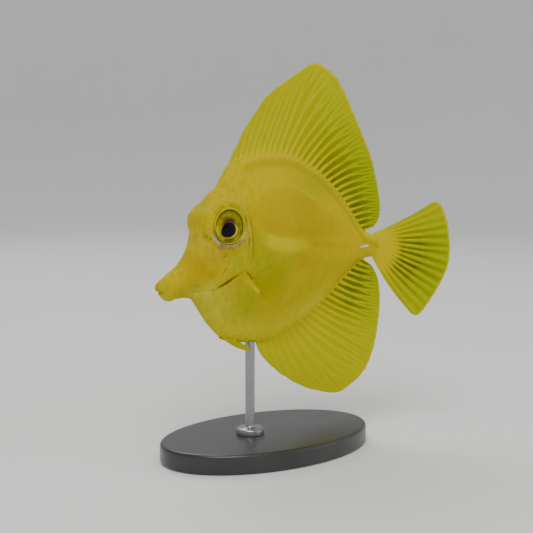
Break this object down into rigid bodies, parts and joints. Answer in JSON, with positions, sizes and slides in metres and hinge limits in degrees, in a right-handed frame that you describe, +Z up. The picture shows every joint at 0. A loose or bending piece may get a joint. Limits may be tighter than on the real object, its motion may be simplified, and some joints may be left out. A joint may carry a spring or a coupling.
{
  "type": "model fish on a stand",
  "caption": "Life-size still model of a young yellow tang in mid-turn, with fanned fins, held up by a rod on a plain oval base.",
  "frame": {"origin": "centre of the underside of the stand's base", "axes": "+X from the fish's snout towards its tail, +Y towards the fish's right side, +Z up"},
  "size_m": [0.0766, 0.034, 0.0898],
  "materials": {
    "head_skin": "satin scaled skin",
    "body_skin": "satin scaled skin",
    "fin_skin": "satin ribbed membrane",
    "blade": "smooth white horn",
    "eye": "wet gloss",
    "stand_base": "smooth satin black",
    "stand_rod": "turned and brushed"
  },
  "bodies": {
    "root": {"head": "head_skin", "lower_jaw": "head_skin", "gill_cover_left": "head_skin", "gill_cover_right": "head_skin", "eye_left": "eye", "eye_right": "eye", "trunk": "body_skin", "tail_stalk": "body_skin", "tail_blade_left": "blade", "tail_blade_right": "blade", "dorsal_fin": "fin_skin", "anal_fin": "fin_skin", "tail_fin": "fin_skin", "pectoral_fin_left": "fin_skin", "pectoral_fin_right": "fin_skin", "pelvic_fin_left": "fin_skin", "pelvic_fin_right": "fin_skin", "stand_base": "stand_base", "stand_rod": "stand_rod"}
  },
  "joints": []
}
